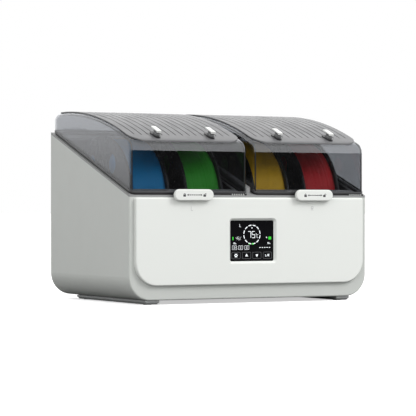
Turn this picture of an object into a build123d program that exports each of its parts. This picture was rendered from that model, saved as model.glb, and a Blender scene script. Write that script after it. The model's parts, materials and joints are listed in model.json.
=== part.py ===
from build123d import *

import os
from math import asin, cos, pi, radians, sin, sqrt, tan

# A two-bay filament dryer box. Millimetres, +Z up, +X to the right seen from the front and +Y
# towards the back. The origin is on the ground, below the middle of the whole machine.

# Housing
BODY_W = 390.0
BODY_D = 265.0
FOOT_H = 6.4
WALL = 3.0
CORNER_R = 33.0  # long bottom edges
LATCH_OUT = 14.0  # the latches reach this far in front of the housing
HINGE_OUT = 9.0  # the hinges reach this far behind it
FRONT = (LATCH_OUT - HINGE_OUT - BODY_D) / 2
BACK = FRONT + BODY_D
TALL = 300.0  # higher than the machine, for blocks that are cut to the slope afterwards

# The side walls end on one sloping plane, which carries the deck, the seals and the lids.
SLOPE = 19.8
DECK_EDGE_Z = FOOT_H + 145.0
DECK_T = 2.8
GASKET_T = 2.4
LID_LIFT = DECK_T + GASKET_T + 0.3

# Front
FASCIA_T = 6.2
FASCIA_SIDE = 7.9
FASCIA_BOTTOM = 20.6
FASCIA_TOP_Z = DECK_EDGE_Z - 0.9
SCREEN_W = 71.0
SCREEN_H = 58.0
SCREEN_Z = FOOT_H + 82.6
SCREEN_BEVEL = 3.4

# Lids: flat front, rounded brow, one long arc over the top, rounded back edge
LID_W = 186.0
LID_GAP = 12.0
LID_T = 2.5
LID_TOP_Z = FOOT_H + 271.2
ARC_R = 582.0
ARC_Y = FRONT + 235.0
ARC_Z = LID_TOP_Z - ARC_R
LID_BACK = BACK - 3.0
BROW_R = 17.5
REAR_R = 12.0
LID_EDGE_R = 7.0
LID_X = (LID_W + LID_GAP) / 2
PANEL_T = 1.6
PANEL_INSET = 5.0
PANEL_LIFT = 0.2  # bond line between the lid shell and the panel
PANEL_CORNER_R = 20.0
PANEL_FRONT = FRONT + 5.0
PANEL_BACK = LID_BACK - 9.0
PANEL_REAR_R = 8.0
GROOVE_COUNT = 15
GROOVE_PITCH = 10.9
GROOVE_W = 1.5
GROOVE_DEPTH = 1.0
GROOVE_MARGIN = 17.0

# Spools of 1 kg, and the rollers that carry them
REEL_R = 100.0
REEL_W = 62.0
FLANGE_T = 4.0
HUB_R = 40.0
HUB_WALL = 3.0
BORE_R = 27.0
WOUND_R = 95.0
WINDOW_COUNT = 6
WINDOW_R = 15.0
WINDOW_PCD_R = 67.0
SPOOL_Y = FRONT + BODY_D / 2
SPOOL_Z = FOOT_H + 135.0
SPOOL_SHIFTS = (-45.0, 42.0)  # of the two spools from the middle of their bay
ROLLER_R = 10.0
ROLLER_CORE_R = 8.0
ROLLER_W = 68.0
TYRE_W = 9.0
SHAFT_R = 4.0
RUNNING_GAP = 0.05
ROLLER_REACH = REEL_R + ROLLER_R + 0.3
ROLLER_DY = 67.7
ROLLER_Z = SPOOL_Z - sqrt(ROLLER_REACH**2 - ROLLER_DY**2)

# Chambers
TUB_W = 172.0
TUB_WALL = 2.0
TUB_FRONT = FRONT + 24.0
TUB_BACK = FRONT + 240.0
TUB_FLOOR_Z = FOOT_H + 28.0
TUB_CORNER_R = 2.0

# Hot air: a finned heater and an axial fan behind each chamber
FAN_SIZE = 60.0
FAN_T = 15.0
FAN_Z = FOOT_H + 62.0
FAN_Y = TUB_BACK + TUB_WALL + 0.5
PORT_R = 27.0

# Hinges, latches and filament outlets
HINGE_Y = BACK + 5.0
HINGE_Z = 254.0
KNUCKLE_R = 4.0
KNUCKLE_L = 12.0
PIN_R = 1.5
HINGE_SHIFT = 55.0
LATCH_W = 62.0
LATCH_H = 16.0
LATCH_Z = FOOT_H + 148.0
LATCH_T = 4.6
TRACK_L = 46.0
TRACK_H = 5.6
TRACK_D = 8.6
FOOT_LOW_Z = FASCIA_TOP_Z + 0.6
OUTLET_Y = FRONT + 21.0
OUTLET_L = 24.0
OUTLET_W = 9.0
STEM_R = 2.1

# Mains inlet and switch, in one module in the back plate
INLET_W = 74.0
INLET_H = 31.0
INLET_Z = FOOT_H + 46.0
SOCKET_X = -14.0
SOCKET_W = 24.5
SOCKET_H = 17.0
SWITCH_X = 19.0
SWITCH_W = 10.0
SWITCH_H = 20.0
SWITCH_PIVOT_Y = BACK - 4.0
SWITCH_TILT = 8.0

# Screws of the back plate, and the bosses behind it
BOSS_L = 14.0
BOSS_W = 9.0
SCREW_R = 1.5
SCREW_L = 9.0
SIDE_SCREW_X = BODY_W / 2 - 8.5
SIDE_SCREWS = [(x, z) for x in (-SIDE_SCREW_X, SIDE_SCREW_X) for z in (60, 140, 215)]
BOTTOM_SCREWS = [(-60, FOOT_H + 10), (60, FOOT_H + 10)]
COVER_SCREWS = SIDE_SCREWS + BOTTOM_SCREWS

BAYS = {"left": -LID_X, "right": LID_X}
SPOOL_X = [middle + shift for middle in BAYS.values() for shift in SPOOL_SHIFTS]
ROLLER_PLACES = [(SPOOL_Y - ROLLER_DY, ROLLER_Z), (SPOOL_Y + ROLLER_DY, ROLLER_Z)]


def save(builder, node):
    """Names the finished piece and writes its STEP file."""
    builder.part.label = node
    export_step(builder.part, f"parts/{node}.step")


def deck_z(y, lift=0.0):
    """Height of the sloping plane at y, moved straight up by lift."""
    return DECK_EDGE_Z + (y - FRONT) * tan(radians(SLOPE)) + lift


def arc_z(y, out=0.0):
    """Height of the lid's long arc at y, moved outwards by out."""
    return ARC_Z + sqrt((ARC_R + out) ** 2 - (y - ARC_Y) ** 2)


def facing_front(y):
    """An upright plane at y whose local axes are X and Z. Negative extrusions run to the back."""
    return Plane.XZ.offset(-y)


def slope_block(low, high):
    """Everything between two planes parallel to the slope, at the given lifts."""
    near = FRONT - TALL
    far = BACK + TALL
    with BuildPart() as block:
        with BuildSketch(Plane.YZ.offset(-BODY_W)):
            with BuildLine():
                Polyline(
                    (near, deck_z(near, low)),
                    (far, deck_z(far, low)),
                    (far, deck_z(far, high)),
                    (near, deck_z(near, high)),
                    close=True,
                )
            make_face()
        extrude(amount=2 * BODY_W)
    return block.part


TRACK_Z = deck_z(FRONT, LID_LIFT) + 0.2 + TRACK_H / 2
ABOVE_SLOPE = slope_block(0, 3 * TALL)
DECK_LAYER = slope_block(0, DECK_T)
GASKET_LAYER = slope_block(DECK_T, DECK_T + GASKET_T)


def lid_face(out):
    """The lid's side outline, moved outwards by out, as a face on the YZ plane."""
    front_top = (FRONT - out, arc_z(FRONT - out, out))
    back_top = (LID_BACK + out, arc_z(LID_BACK + out, out))
    middle = (front_top[0] + back_top[0]) / 2
    foot = LID_LIFT if out == 0 else -TALL / 10
    with BuildSketch() as outline:
        with BuildLine():
            Polyline(
                front_top,
                (front_top[0], deck_z(front_top[0], foot)),
                (back_top[0], deck_z(back_top[0], foot)),
                back_top,
            )
            ThreePointArc(back_top, (middle, arc_z(middle, out)), front_top)
        make_face()
        fillet(vertices().sort_by_distance(front_top)[0], BROW_R + out)
        fillet(vertices().sort_by_distance(back_top)[0], REAR_R + out)
    return outline.sketch


def lid_block(out, middle_x, width, edge_r):
    """A solid of the lid's outline, moved outwards by out, with its long side edges rounded."""
    with BuildPart() as block:
        with BuildSketch(Plane.YZ.offset(middle_x - width / 2)):
            add(lid_face(out))
        extrude(amount=width)
        if edge_r:
            side_edges = block.faces().filter_by(Axis.X).edges()
            bottom = LID_LIFT if out == 0 else -TALL / 10
            rounded = side_edges.filter_by(lambda e: e.center().Z > deck_z(e.center().Y, bottom) + 1)
            fillet(rounded, edge_r)
    return block.part


def housing_shell():
    """The grey trough of two sides, the bottom and the front wall."""
    with BuildPart() as shell:
        with BuildSketch(facing_front(FRONT)):
            with Locations((0, FOOT_H)):
                Rectangle(BODY_W, TALL, align=(Align.CENTER, Align.MIN))
            fillet(vertices().group_by(Axis.Y)[0], CORNER_R)
        extrude(amount=-BODY_D)
        fillet(shell.faces().sort_by(Axis.Y)[0].edges(), WALL - 0.8)
        with BuildSketch(facing_front(FRONT + WALL)):
            with Locations((0, FOOT_H + WALL)):
                Rectangle(BODY_W - 2 * WALL, TALL, align=(Align.CENTER, Align.MIN))
            fillet(vertices().group_by(Axis.Y)[0], CORNER_R - WALL)
        extrude(amount=-BODY_D, mode=Mode.SUBTRACT)
        with BuildSketch(facing_front(FRONT - 1)):
            with Locations((0, SCREEN_Z)):
                RectangleRounded(SCREEN_W + 5, SCREEN_H + 5, 3)
        extrude(amount=-2 * WALL, mode=Mode.SUBTRACT)
        with BuildSketch(facing_front(BACK - WALL - BOSS_L)):
            for x, z in SIDE_SCREWS:
                side = 1 if x > 0 else -1
                with Locations((x + side, z)):
                    Rectangle(BOSS_W + 1, BOSS_W)
            for x, z in BOTTOM_SCREWS:
                with Locations((x, FOOT_H + 1)):
                    Rectangle(BOSS_W, z - FOOT_H + 3, align=(Align.CENTER, Align.MIN))
        extrude(amount=-BOSS_L)
        with BuildSketch(facing_front(BACK)):
            with Locations(*COVER_SCREWS):
                Circle(SCREW_R)
        extrude(amount=SCREW_L, mode=Mode.SUBTRACT)
        add(ABOVE_SLOPE, mode=Mode.SUBTRACT)
    save(shell, "housing_shell")


def front_fascia():
    """The white front plate, with the bevelled window for the screen."""
    bottom_z = FOOT_H + FASCIA_BOTTOM
    with BuildPart() as fascia:
        with BuildSketch(facing_front(FRONT)):
            with Locations((0, bottom_z)):
                Rectangle(BODY_W - 2 * FASCIA_SIDE, FASCIA_TOP_Z - bottom_z, align=(Align.CENTER, Align.MIN))
            fillet(vertices().group_by(Axis.Y)[0], CORNER_R)
            fillet(vertices().group_by(Axis.Y)[-1], 3)
        extrude(amount=FASCIA_T)
        fillet(fascia.faces().sort_by(Axis.Y)[0].edges(), 2)
        with BuildSketch(facing_front(FRONT - FASCIA_T)):
            with Locations((0, SCREEN_Z)):
                RectangleRounded(SCREEN_W + 2 * SCREEN_BEVEL, SCREEN_H + 2 * SCREEN_BEVEL, 5.5)
        with BuildSketch(facing_front(FRONT - FASCIA_T + SCREEN_BEVEL)):
            with Locations((0, SCREEN_Z)):
                RectangleRounded(SCREEN_W + 0.4, SCREEN_H + 0.4, 2.2)
        loft(mode=Mode.SUBTRACT)
        with BuildSketch(facing_front(FRONT - FASCIA_T + SCREEN_BEVEL)):
            with Locations((0, SCREEN_Z)):
                RectangleRounded(SCREEN_W + 0.4, SCREEN_H + 0.4, 2.2)
        extrude(amount=-FASCIA_T, mode=Mode.SUBTRACT)
    save(fascia, "front_fascia")


def display():
    """The glass in the fascia's window, the dark frame behind it and the circuit board."""
    glass_front = FRONT - FASCIA_T + SCREEN_BEVEL
    glass_t = 1.8
    frame_t = 6.0
    with BuildPart() as glass:
        with BuildSketch(facing_front(glass_front)):
            with Locations((0, SCREEN_Z)):
                RectangleRounded(SCREEN_W, SCREEN_H, 2)
        extrude(amount=-glass_t)
    save(glass, "display_glass")
    with BuildPart() as frame:
        with BuildSketch(facing_front(glass_front + glass_t + 0.1)):
            with Locations((0, SCREEN_Z)):
                RectangleRounded(SCREEN_W - 1, SCREEN_H - 1, 2)
                Rectangle(SCREEN_W - 11, SCREEN_H - 11, mode=Mode.SUBTRACT)
        extrude(amount=-frame_t)
    save(frame, "display_frame")
    with BuildPart() as board:
        with BuildSketch(facing_front(glass_front + glass_t + frame_t + 0.2)):
            with Locations((0, SCREEN_Z)):
                Rectangle(92, 74)
                with GridLocations(84, 66, 2, 2):
                    Circle(1.6, mode=Mode.SUBTRACT)
        extrude(amount=-1.6)
    save(board, "display_board")


def rear_cover():
    """The back plate, with fan vents and the cut-out for the power inlet."""
    with BuildPart() as cover:
        with BuildSketch(facing_front(BACK - WALL)):
            with Locations((0, FOOT_H + WALL + 0.2)):
                Rectangle(BODY_W - 2 * WALL - 0.4, TALL, align=(Align.CENTER, Align.MIN))
            fillet(vertices().group_by(Axis.Y)[0], CORNER_R - WALL - 0.2)
            for middle in BAYS.values():
                with Locations((middle, FAN_Z)):
                    with GridLocations(0, 7.5, 1, 8):
                        SlotOverall(FAN_SIZE - 6, 3.2, mode=Mode.SUBTRACT)
            with Locations((0, INLET_Z)):
                Rectangle(INLET_W - 8, INLET_H - 6, mode=Mode.SUBTRACT)
            with Locations(*COVER_SCREWS):
                Circle(SCREW_R + 0.1, mode=Mode.SUBTRACT)
        extrude(amount=-WALL)
        add(ABOVE_SLOPE, mode=Mode.SUBTRACT)
    save(cover, "rear_cover")


def cover_screws():
    """The screws that hold the back plate on."""
    head_h = 1.4
    with BuildPart() as screws:
        with BuildSketch(facing_front(BACK)):
            with Locations(*COVER_SCREWS):
                Circle(2.8)
        extrude(amount=-head_h)
        with BuildSketch(facing_front(BACK)):
            with Locations(*COVER_SCREWS):
                Circle(SCREW_R)
        extrude(amount=SCREW_L)
        with BuildSketch(facing_front(BACK + head_h)):
            with Locations(*COVER_SCREWS):
                RegularPolygon(1.3, 6)
        extrude(amount=0.9, mode=Mode.SUBTRACT)
    save(screws, "cover_screws")


def deck_frame():
    """The sloping rim round both chambers, with the rib between the lids."""
    rib = slope_block(DECK_T, DECK_T + 8)
    with BuildPart() as ridge:
        with BuildSketch(Plane.XY):
            with Locations((0, (FRONT + BACK) / 2)):
                Rectangle(LID_GAP - 3, BODY_D - 16)
        extrude(amount=TALL)
        fillet(ridge.edges().filter_by(Axis.Z), 3)
        add(rib, mode=Mode.INTERSECT)
    with BuildPart() as deck:
        with BuildSketch(Plane.XY):
            with Locations((0, (FRONT + BACK) / 2)):
                Rectangle(BODY_W, BODY_D)
            for middle in BAYS.values():
                with Locations((middle, (TUB_FRONT + TUB_BACK) / 2)):
                    RectangleRounded(TUB_W, TUB_BACK - TUB_FRONT, TUB_CORNER_R, mode=Mode.SUBTRACT)
        extrude(amount=TALL)
        fillet(deck.edges().filter_by(Axis.Z).group_by(Axis.Y)[0], WALL - 0.8)
        add(DECK_LAYER, mode=Mode.INTERSECT)
        add(ridge.part)
    save(deck, "deck_frame")


def lid_gaskets():
    """A soft seal under the rim of each lid."""
    inset = 0.6
    band = 6.0
    length = LID_BACK - FRONT - 2 * inset
    with BuildPart() as gaskets:
        with BuildSketch(Plane.XY):
            for middle in BAYS.values():
                with Locations((middle, (FRONT + LID_BACK) / 2)):
                    RectangleRounded(LID_W - 2 * inset, length, LID_EDGE_R)
                    RectangleRounded(LID_W - 2 * band, length - 2 * band, LID_EDGE_R / 2, mode=Mode.SUBTRACT)
        extrude(amount=TALL)
        add(GASKET_LAYER, mode=Mode.INTERSECT)
    save(gaskets, "lid_gaskets")


def tub(side, middle):
    """One heated chamber: an open tub with a round air port in its back wall."""
    depth = TUB_BACK - TUB_FRONT
    centre_y = (TUB_FRONT + TUB_BACK) / 2
    with BuildPart() as chamber:
        with BuildSketch(Plane.XY.offset(TUB_FLOOR_Z - TUB_WALL)):
            with Locations((middle, centre_y)):
                RectangleRounded(TUB_W + 2 * TUB_WALL, depth + 2 * TUB_WALL, TUB_CORNER_R + TUB_WALL)
        extrude(amount=TALL)
        with BuildSketch(Plane.XY.offset(TUB_FLOOR_Z)):
            with Locations((middle, centre_y)):
                RectangleRounded(TUB_W, depth, TUB_CORNER_R)
        extrude(amount=TALL, mode=Mode.SUBTRACT)
        with BuildSketch(facing_front(TUB_BACK - 1)):
            with Locations((middle, FAN_Z)):
                Circle(PORT_R)
        extrude(amount=-2 * TUB_WALL, mode=Mode.SUBTRACT)
        add(ABOVE_SLOPE, mode=Mode.SUBTRACT)
    save(chamber, f"tub_{side}")


def hot_air():
    """The heaters, their guards and the fan frames, and one impeller for each fan."""
    heater_w = 120.0
    heater_h = 34.0
    heater_t = 16.0
    heater_y = TUB_BACK - 2 - heater_t
    guard_y = heater_y - 4
    with BuildPart() as heaters:
        with BuildSketch(Plane.XY.offset(TUB_FLOOR_Z)):
            for middle in BAYS.values():
                with Locations((middle, heater_y + heater_t / 2)):
                    Rectangle(heater_w, heater_t)
        extrude(amount=heater_h)
        with BuildSketch(facing_front(heater_y)):
            for middle in BAYS.values():
                with Locations((middle, TUB_FLOOR_Z + heater_h / 2)):
                    with GridLocations(4.0, 0, 28, 1):
                        Rectangle(2.2, heater_h - 8)
        extrude(amount=-(heater_t - 3), mode=Mode.SUBTRACT)
    save(heaters, "heaters")
    with BuildPart() as guards:
        with BuildSketch(facing_front(guard_y)):
            for middle in BAYS.values():
                with Locations((middle, TUB_FLOOR_Z + heater_h / 2 + 2)):
                    Rectangle(heater_w + 12, heater_h + 4)
                    with GridLocations(8.0, 12.0, 15, 3):
                        SlotOverall(9.0, 4.0, rotation=90, mode=Mode.SUBTRACT)
        extrude(amount=-1.5)
    save(guards, "heater_guards")
    with BuildPart() as frames:
        with BuildSketch(facing_front(FAN_Y)):
            for middle in BAYS.values():
                with Locations((middle, FAN_Z)):
                    RectangleRounded(FAN_SIZE, FAN_SIZE, 4)
                    Circle(PORT_R, mode=Mode.SUBTRACT)
                    with GridLocations(50, 50, 2, 2):
                        Circle(2.1, mode=Mode.SUBTRACT)
        extrude(amount=-FAN_T)
        with BuildSketch(facing_front(FAN_Y + FAN_T - 2)):
            for middle in BAYS.values():
                with Locations((middle, FAN_Z)):
                    Circle(12)
                    with PolarLocations(0, 4, start_angle=45):
                        Rectangle(PORT_R + 1, 3, align=(Align.MIN, Align.CENTER))
        extrude(amount=-2)
    save(frames, "fan_frames")
    for side, middle in BAYS.items():
        impeller(side, middle)


def impeller(side, middle):
    """A fan wheel of seven pitched blades round a cup-shaped hub."""
    blade_count = 7
    wheel_t = FAN_T - 4.0
    with BuildPart() as wheel:
        with BuildSketch(facing_front(FAN_Y + 1)):
            with Locations((middle, FAN_Z)):
                Circle(12)
        extrude(amount=-wheel_t)
        for turn in range(blade_count):
            angle = 2 * pi / blade_count * turn
            outwards = (cos(angle), 0, sin(angle))
            root = (middle + 11 * cos(angle), FAN_Y + 1 + wheel_t / 2, FAN_Z + 11 * sin(angle))
            with BuildSketch(Plane(origin=root, x_dir=(0, 1, 0), z_dir=outwards)):
                Rectangle(wheel_t, 1.2, rotation=40)
            extrude(amount=14.5)
    save(wheel, f"impeller_{side}")


def roller_shafts():
    """Four fixed steel shafts, two in each chamber."""
    length = TUB_W - 3
    with BuildPart() as shafts:
        for middle in BAYS.values():
            with BuildSketch(Plane.YZ.offset(middle - length / 2)):
                with Locations(*ROLLER_PLACES):
                    Circle(SHAFT_R)
            extrude(amount=length)
    save(shafts, "roller_shafts")


def shaft_clips():
    """Three upright supports for each shaft: one at each end and one between the rollers."""
    end_shift = TUB_W / 2 - 3.5
    middle_shift = sum(SPOOL_SHIFTS) / 2
    width = 5.0
    with BuildPart() as clips:
        for middle in BAYS.values():
            for shift in (-end_shift, middle_shift, end_shift):
                with BuildSketch(Plane.YZ.offset(middle + shift - width / 2)):
                    with Locations(*[(y, TUB_FLOOR_Z) for y, z in ROLLER_PLACES]):
                        Rectangle(16, ROLLER_Z - TUB_FLOOR_Z + 7, align=(Align.CENTER, Align.MIN))
                    with Locations(*ROLLER_PLACES):
                        Circle(SHAFT_R + RUNNING_GAP, mode=Mode.SUBTRACT)
                extrude(amount=width)
    save(clips, "shaft_clips")


def roller(number, x, y, end):
    """A free-running roller: a plain core with a tyre under each flange of the spool."""
    tyre_x = REEL_W / 2 - FLANGE_T / 2
    with BuildPart() as wheel:
        with BuildSketch(Plane.YZ.offset(x - ROLLER_W / 2)):
            with Locations((y, ROLLER_Z)):
                Circle(ROLLER_CORE_R)
        extrude(amount=ROLLER_W)
        for shift in (-tyre_x, tyre_x):
            with BuildSketch(Plane.YZ.offset(x + shift - TYRE_W / 2)):
                with Locations((y, ROLLER_Z)):
                    Circle(ROLLER_R)
            extrude(amount=TYRE_W)
        fillet(wheel.edges().filter_by(GeomType.CIRCLE).filter_by(lambda e: e.radius > 9.9), 0.8)
        with BuildSketch(Plane.YZ.offset(x - ROLLER_W)):
            with Locations((y, ROLLER_Z)):
                Circle(SHAFT_R + RUNNING_GAP)
        extrude(amount=2 * ROLLER_W, mode=Mode.SUBTRACT)
    save(wheel, f"roller_{number}_{end}")


def reel(number, x):
    """An empty spool: two flanges with a bore and round windows, and the hollow hub."""
    inner_w = REEL_W - 2 * FLANGE_T
    with BuildPart() as spool:
        for start in (x - REEL_W / 2, x + REEL_W / 2 - FLANGE_T):
            with BuildSketch(Plane.YZ.offset(start)):
                with Locations((SPOOL_Y, SPOOL_Z)):
                    Circle(REEL_R)
                    Circle(BORE_R, mode=Mode.SUBTRACT)
                    with PolarLocations(WINDOW_PCD_R, WINDOW_COUNT):
                        Circle(WINDOW_R, mode=Mode.SUBTRACT)
            extrude(amount=FLANGE_T)
        with BuildSketch(Plane.YZ.offset(x - inner_w / 2)):
            with Locations((SPOOL_Y, SPOOL_Z)):
                Circle(HUB_R)
                Circle(HUB_R - HUB_WALL, mode=Mode.SUBTRACT)
        extrude(amount=inner_w)
        fillet(spool.edges().filter_by(GeomType.CIRCLE).filter_by(lambda e: e.radius > REEL_R - 0.1), 1.2)
    save(spool, f"reel_{number}")


def filament(number, x):
    """The winding on a reel, as one hollow cylinder."""
    width = REEL_W - 2 * FLANGE_T - 0.4
    with BuildPart() as winding:
        with BuildSketch(Plane.YZ.offset(x - width / 2)):
            with Locations((SPOOL_Y, SPOOL_Z)):
                Circle(WOUND_R)
                Circle(HUB_R + 0.2, mode=Mode.SUBTRACT)
        extrude(amount=width)
        fillet(winding.edges().filter_by(GeomType.CIRCLE).filter_by(lambda e: e.radius > WOUND_R - 0.1), 2)
    save(winding, f"filament_{number}")


def lid_shell(side, middle):
    """The clear hood of one bay, with hinge webs at the back and holes for its outlets."""
    cavity = lid_block(-LID_T, middle, LID_W - 2 * LID_T, LID_EDGE_R - LID_T)
    hood = lid_block(0, middle, LID_W, LID_EDGE_R)
    web_y = LID_BACK - LID_T / 2
    with BuildPart() as shell:
        add(hood)
        add(cavity, mode=Mode.SUBTRACT)
        for x in (middle - HINGE_SHIFT, middle + HINGE_SHIFT):
            with BuildSketch(Plane.YZ.offset(x - KNUCKLE_L / 2)):
                with Locations((web_y, HINGE_Z)):
                    Rectangle(HINGE_Y - web_y, 3.2, align=(Align.MIN, Align.CENTER))
                with Locations((HINGE_Y, HINGE_Z)):
                    Circle(KNUCKLE_R)
                    Circle(PIN_R + RUNNING_GAP, mode=Mode.SUBTRACT)
            extrude(amount=KNUCKLE_L)
        for x in outlet_xs(middle):
            with BuildSketch(outlet_plane(x)):
                SlotOverall(OUTLET_L - 5.6, OUTLET_W - 2.6, rotation=90)
            extrude(amount=-3 * LID_T, mode=Mode.SUBTRACT)
    save(shell, f"lid_shell_{side}")


def top_panel(side, middle):
    """The grey grooved panel bonded over the top of one lid."""
    width = LID_W - 2 * PANEL_INSET
    outer = lid_block(PANEL_LIFT + PANEL_T, middle, width, 0)
    inner = lid_block(PANEL_LIFT, middle, width, 0)
    groove_floor = lid_block(PANEL_LIFT + PANEL_T - GROOVE_DEPTH, middle, width, 0)
    half = (GROOVE_COUNT - 1) / 2
    groove_end = PANEL_BACK - 7
    corner_start = width / 2 - PANEL_CORNER_R
    with BuildPart() as grooves:
        with BuildSketch(Plane.XY.offset(LID_TOP_Z - TALL / 4)):
            for step in range(GROOVE_COUNT):
                shift = (step - half) * GROOVE_PITCH
                past_corner = max(0, abs(shift) - corner_start)
                setback = PANEL_CORNER_R - sqrt(PANEL_CORNER_R**2 - past_corner**2)
                start = PANEL_FRONT + GROOVE_MARGIN + setback
                with Locations((middle + shift, (start + groove_end) / 2)):
                    SlotOverall(groove_end - start, GROOVE_W, rotation=90)
        extrude(amount=TALL)
        add(groove_floor, mode=Mode.SUBTRACT)
    with BuildPart() as panel:
        with BuildSketch(Plane.XY.offset(HINGE_Z - 60)):
            with Locations((middle, PANEL_FRONT)):
                Rectangle(width, PANEL_BACK - PANEL_FRONT, align=(Align.CENTER, Align.MIN))
            fillet(vertices().group_by(Axis.Y)[0], PANEL_CORNER_R)
            fillet(vertices().group_by(Axis.Y)[-1], PANEL_REAR_R)
        extrude(amount=TALL)
        add(outer, mode=Mode.INTERSECT)
        add(inner, mode=Mode.SUBTRACT)
        add(grooves.part, mode=Mode.SUBTRACT)
        for x in outlet_xs(middle):
            with BuildSketch(outlet_plane(x)):
                SlotOverall(OUTLET_L - 5.6, OUTLET_W - 2.6, rotation=90)
            extrude(amount=-3 * LID_T, both=True, mode=Mode.SUBTRACT)
    save(panel, f"top_panel_{side}")


def outlet_xs(middle):
    """The two outlets of a lid stand over the middles of its spools."""
    return [middle + shift for shift in SPOOL_SHIFTS]


def outlet_plane(x):
    """The plane on the panel's outer surface at an outlet, with its local Y up the slope."""
    tilt = asin((ARC_Y - OUTLET_Y) / ARC_R)
    normal = (0, -sin(tilt), cos(tilt))
    out = PANEL_LIFT + PANEL_T
    origin = (x, OUTLET_Y - out * sin(tilt), arc_z(OUTLET_Y) + out * cos(tilt))
    return Plane(origin=origin, x_dir=(1, 0, 0), z_dir=normal)


def outlet_seats(side, middle):
    """The dark seats in a lid's outlets, each with a bore for the filament tube."""
    through = PANEL_T + PANEL_LIFT + LID_T + 1
    with BuildPart() as seats:
        for x in outlet_xs(middle):
            top = outlet_plane(x)
            with BuildSketch(top.offset(0.1)):
                SlotOverall(OUTLET_L, OUTLET_W, rotation=90)
            extrude(amount=1.6)
            with BuildSketch(top.offset(0.1)):
                SlotOverall(OUTLET_L - 6.2, OUTLET_W - 3.2, rotation=90)
            extrude(amount=-through)
            with BuildSketch(top.offset(10)):
                Circle(STEM_R + RUNNING_GAP)
            extrude(amount=-30, mode=Mode.SUBTRACT)
    save(seats, f"outlet_seats_{side}")


def outlet_plug(number, x):
    """A pull-out stopper: a stem in the seat's bore, a rounded body and a flat tab to hold."""
    top = outlet_plane(x)
    body_h = 6.7
    tab_h = 2.0
    body_base = 2.0
    with BuildPart() as plug:
        with BuildSketch(top.offset(body_base - 7)):
            Circle(STEM_R)
        extrude(amount=8)
        with BuildSketch(top.offset(body_base)):
            with Locations((0, -2.5)):
                SlotOverall(13, 6.6, rotation=90)
        extrude(amount=body_h)
        with BuildSketch(top.offset(body_base + body_h)):
            with Locations((0, 0.5)):
                RectangleRounded(OUTLET_W - 0.5, OUTLET_L - 3, 1.6)
        extrude(amount=tab_h)
        with BuildSketch(top.offset(body_base + body_h + 0.5)):
            with Locations((0, 3.2 - OUTLET_L / 2)):
                Rectangle(OUTLET_W - 2, 1.6)
        extrude(amount=-1.9)
    save(plug, f"outlet_plug_{number}")


def latch_track(side, middle):
    """The slotted rail on the front of a lid that its latch slides in."""
    with BuildPart() as track:
        with BuildSketch(Plane.YZ.offset(middle - TRACK_L / 2)):
            with Locations((FRONT - 0.1, TRACK_Z)):
                Rectangle(TRACK_D, TRACK_H, align=(Align.MAX, Align.CENTER))
            with Locations((FRONT - 1.6, TRACK_Z)):
                Rectangle(4.4, TRACK_H - 1.6, align=(Align.MAX, Align.CENTER), mode=Mode.SUBTRACT)
            with Locations((FRONT - 2, TRACK_Z)):
                Rectangle(TRACK_D, 2.0, align=(Align.MAX, Align.CENTER), mode=Mode.SUBTRACT)
        extrude(amount=TRACK_L)
    save(track, f"latch_track_{side}")


def latch(side, middle):
    """A white slide with rounded ends, its T-shaped runner and the foot that locks the lid."""
    plate_back = FRONT - LATCH_OUT + LATCH_T
    runner_l = TRACK_L - 12
    with BuildPart() as slide:
        with BuildSketch(facing_front(plate_back)):
            with Locations((middle, LATCH_Z)):
                SlotOverall(LATCH_W, LATCH_H)
        extrude(amount=LATCH_T)
        fillet(slide.faces().sort_by(Axis.Y)[0].edges(), 1.6)
        with BuildSketch(Plane.YZ.offset(middle - runner_l / 2)):
            with Locations((plate_back - 0.5, TRACK_Z)):
                Rectangle(FRONT - 2 - plate_back, 1.4, align=(Align.MIN, Align.CENTER))
            with Locations((FRONT - 1.9, TRACK_Z)):
                Rectangle(3.8, TRACK_H - 2.2, align=(Align.MAX, Align.CENTER))
        extrude(amount=runner_l)
        with BuildSketch(Plane.XY.offset(FOOT_LOW_Z)):
            with Locations((middle + 2, plate_back - 0.5)):
                Rectangle(10, FRONT - 1.5 - plate_back + 0.5, align=(Align.MIN, Align.MIN))
        extrude(amount=1.4)
    save(slide, f"latch_{side}")


def latch_keepers():
    """The steel tabs that the latches lock under."""
    with BuildPart() as keepers:
        with BuildSketch(Plane.XY.offset(FOOT_LOW_Z + 1.8)):
            for middle in BAYS.values():
                with Locations((middle - 1, FRONT)):
                    Rectangle(11, 4.5, align=(Align.MAX, Align.MAX))
        extrude(amount=1.0)
    save(keepers, "latch_keepers")


def hinges():
    """The fixed half of each hinge, screwed to the back, and the pins."""
    leaf_l = 3 * KNUCKLE_L + 1.2
    leaf_t = 2.0
    leaf_top = HINGE_Z - 9
    leaf_h = 20.0
    ear_l = KNUCKLE_L - 0.2
    with BuildPart() as brackets:
        for middle in BAYS.values():
            for x in (middle - HINGE_SHIFT, middle + HINGE_SHIFT):
                with BuildSketch(facing_front(BACK)):
                    with Locations((x, leaf_top)):
                        Rectangle(leaf_l, leaf_h, align=(Align.CENTER, Align.MAX))
                    with Locations((x - 12, leaf_top - 12), (x + 12, leaf_top - 12)):
                        Circle(1.7, mode=Mode.SUBTRACT)
                extrude(amount=-leaf_t)
                for start in (x - leaf_l / 2, x + leaf_l / 2 - ear_l):
                    with BuildSketch(Plane.YZ.offset(start)):
                        with Locations((BACK, leaf_top - 1)):
                            Rectangle(leaf_t, HINGE_Z - leaf_top + 1, align=(Align.MIN, Align.MIN))
                        with Locations((HINGE_Y, HINGE_Z)):
                            Circle(KNUCKLE_R)
                            Circle(PIN_R, mode=Mode.SUBTRACT)
                    extrude(amount=ear_l)
    save(brackets, "hinge_brackets")
    with BuildPart() as pins:
        for middle in BAYS.values():
            for x in (middle - HINGE_SHIFT, middle + HINGE_SHIFT):
                with BuildSketch(Plane.YZ.offset(x - leaf_l / 2 - 0.5)):
                    with Locations((HINGE_Y, HINGE_Z)):
                        Circle(PIN_R)
                extrude(amount=leaf_l + 1)
    save(pins, "hinge_pins")


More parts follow.
